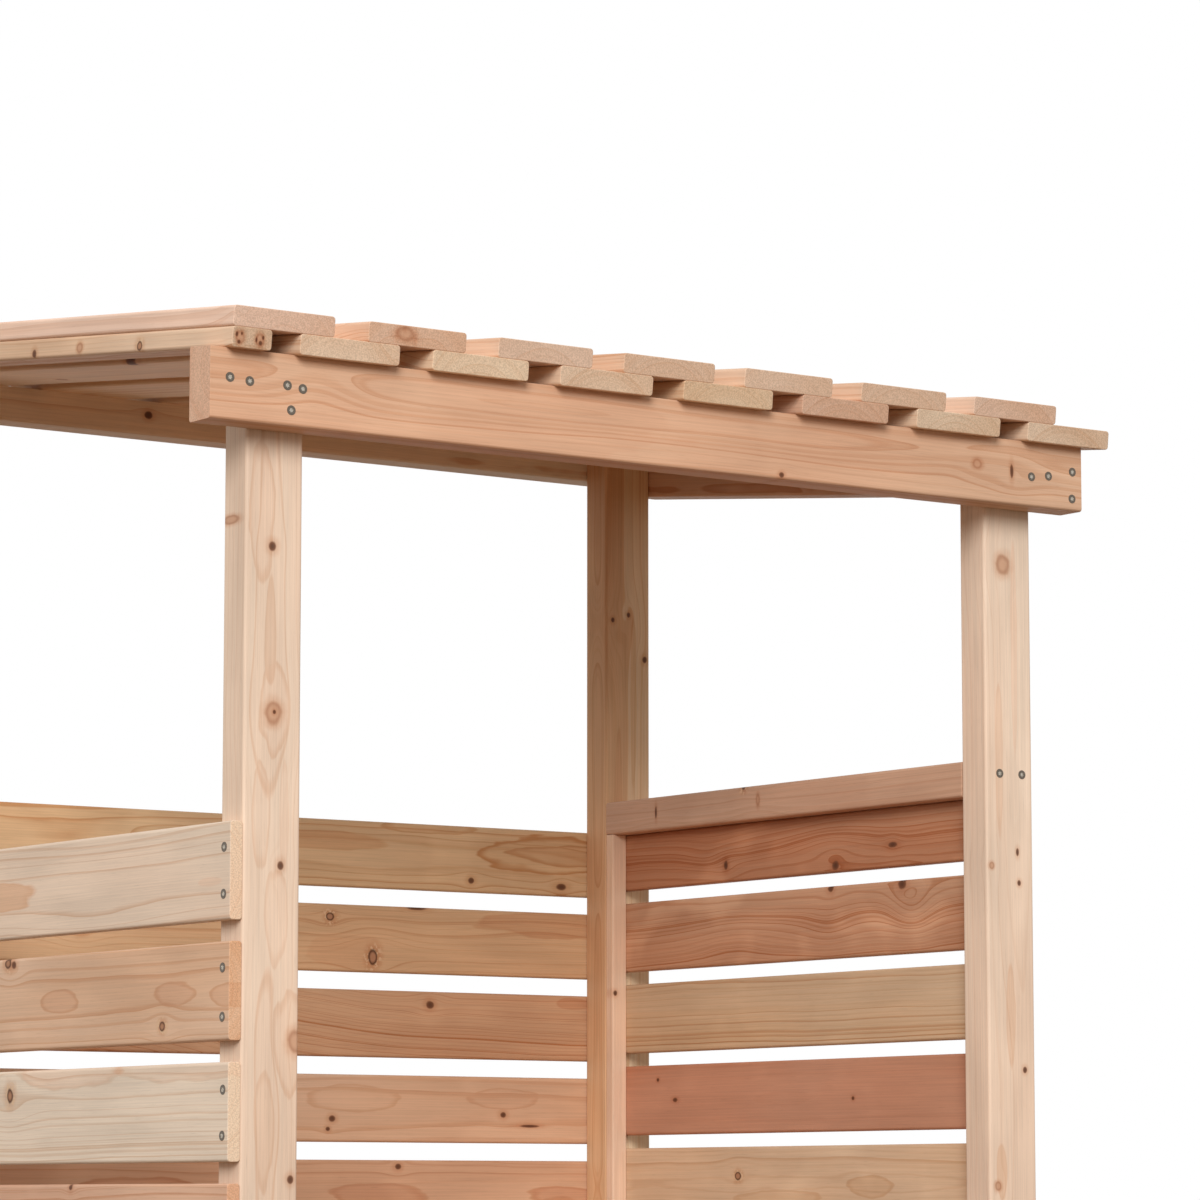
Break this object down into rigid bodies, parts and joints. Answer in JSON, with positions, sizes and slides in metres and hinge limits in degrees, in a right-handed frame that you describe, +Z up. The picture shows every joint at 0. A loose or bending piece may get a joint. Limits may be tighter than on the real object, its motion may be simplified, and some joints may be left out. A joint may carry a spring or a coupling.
{
  "type": "log store",
  "caption": "Open-fronted timber log store with slatted left, back and right walls, a raised board floor and a lapped board roof that falls from back to front.",
  "frame": {"origin": "on the ground, in the middle of the whole outline", "axes": "+X to the right seen from the open front, +Y to the back, +Z up"},
  "size_m": [1.22, 0.9516, 1.7769],
  "materials": {
    "post_timber": "planed, untreated",
    "beam_timber": "planed, untreated",
    "slat_timber": "planed, untreated",
    "roof_timber": "planed, untreated",
    "floor_timber": "planed, untreated",
    "screw_steel": "plain countersunk screws"
  },
  "bodies": {
    "root": {"post_front_left": "post_timber", "post_front_right": "post_timber", "post_back_left": "post_timber", "post_back_right": "post_timber", "front_beam": "beam_timber", "back_beam": "beam_timber", "right_rafter": "beam_timber", "right_wall_rail": "beam_timber", "floor_rail_front": "beam_timber", "floor_rail_back": "beam_timber", "left_wall_slats": "slat_timber", "back_wall_slats": "slat_timber", "right_wall_slats": "slat_timber", "right_wall_batten_front": "slat_timber", "right_wall_batten_back": "slat_timber", "roof_edge_strip": "roof_timber", "roof_lower_board_1": "roof_timber", "roof_lower_board_2": "roof_timber", "roof_lower_board_3": "roof_timber", "roof_lower_board_4": "roof_timber", "roof_lower_board_5": "roof_timber", "roof_lower_board_6": "roof_timber", "roof_lower_board_7": "roof_timber", "roof_upper_board_1": "roof_timber", "roof_upper_board_2": "roof_timber", "roof_upper_board_3": "roof_timber", "roof_upper_board_4": "roof_timber", "roof_upper_board_5": "roof_timber", "roof_upper_board_6": "roof_timber", "roof_upper_board_7": "roof_timber", "floor_boards": "floor_timber"}
  },
  "joints": []
}
